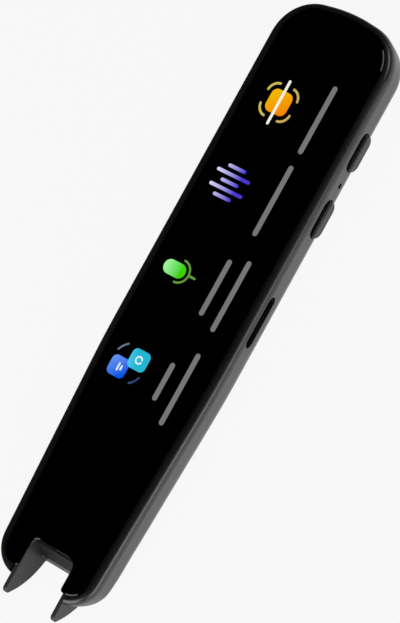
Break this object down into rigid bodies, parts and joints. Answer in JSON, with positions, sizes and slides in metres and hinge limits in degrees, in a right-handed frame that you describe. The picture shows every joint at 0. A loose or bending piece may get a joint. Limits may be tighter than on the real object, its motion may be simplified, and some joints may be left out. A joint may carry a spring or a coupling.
{
  "type": "handheld scanning translator",
  "caption": "Flat handheld scanning translator: a long glass front in a rounded matte tub, side buttons, a ribbed loudspeaker grille and a sprung scanning fork at the tip.",
  "frame": {"origin": "middle of the flat back face, halfway along its flat", "axes": "+X to the button side, +Y to the loudspeaker and charging end, +Z out of the screen"},
  "size_m": [0.0344, 0.1555, 0.0126],
  "materials": {
    "casing_plastic": "fine matte with a soft sheen",
    "button_plastic": "fine matte",
    "fork_plastic": "satin",
    "cover_glass": "polished, black behind",
    "smoked_window": "polished, smoked",
    "lens_glass": "polished",
    "display_stack": "polished",
    "adhesive": "matte",
    "seal_rubber": "matte",
    "mesh_cloth": "matte",
    "inner_plastic": "matte",
    "flex_film": "satin",
    "board_laminate": "satin",
    "chip_resin": "matte",
    "ceramic": "matte",
    "bright_steel": "satin",
    "battery_film": "satin"
  },
  "bodies": {
    "casing": {"casing_shell": "casing_plastic", "cover_glass": "cover_glass", "glass_adhesive": "adhesive", "display_panel": "display_stack", "display_backlight": "display_stack", "display_tray": "bright_steel", "display_ribbon": "flex_film", "main_board": "board_laminate", "processor_shield": "bright_steel", "board_chips": "chip_resin", "radio_antenna": "ceramic", "board_screws": "bright_steel", "battery": "battery_film", "battery_tape": "adhesive", "battery_protection_board": "board_laminate", "speaker_mesh": "mesh_cloth", "speaker_gasket": "seal_rubber", "speaker": "inner_plastic", "speaker_cone": "inner_plastic", "key_board": "board_laminate", "key_domes": "bright_steel", "side_microphone": "bright_steel", "top_microphone": "bright_steel", "fork_springs": "bright_steel", "camera_board": "board_laminate", "camera_body": "inner_plastic", "camera_lens": "lens_glass", "scan_lamps": "ceramic", "tip_switch": "inner_plastic", "usb_receptacle": "bright_steel", "usb_tongue": "inner_plastic", "card_socket": "bright_steel"},
    "power_button": {"power_button": "button_plastic"},
    "record_button": {"record_button": "button_plastic"},
    "fork": {"scan_fork": "fork_plastic", "scan_window": "smoked_window"}
  },
  "joints": [
    {"name": "power_press", "type": "slide", "parent": "casing", "child": "power_button", "axis": [-1, 0, 0], "range_m": [0, 0.0004], "stiffness_N_per_m": 4000, "springref_m": -0.0001},
    {"name": "record_press", "type": "slide", "parent": "casing", "child": "record_button", "axis": [-1, 0, 0], "range_m": [0, 0.0004], "stiffness_N_per_m": 4000, "springref_m": -0.0001},
    {"name": "scan_press", "type": "slide", "parent": "casing", "child": "fork", "axis": [0, 1, 0], "range_m": [0, 0.001], "stiffness_N_per_m": 600, "springref_m": -0.001, "deforming": ["fork_springs"]}
  ]
}
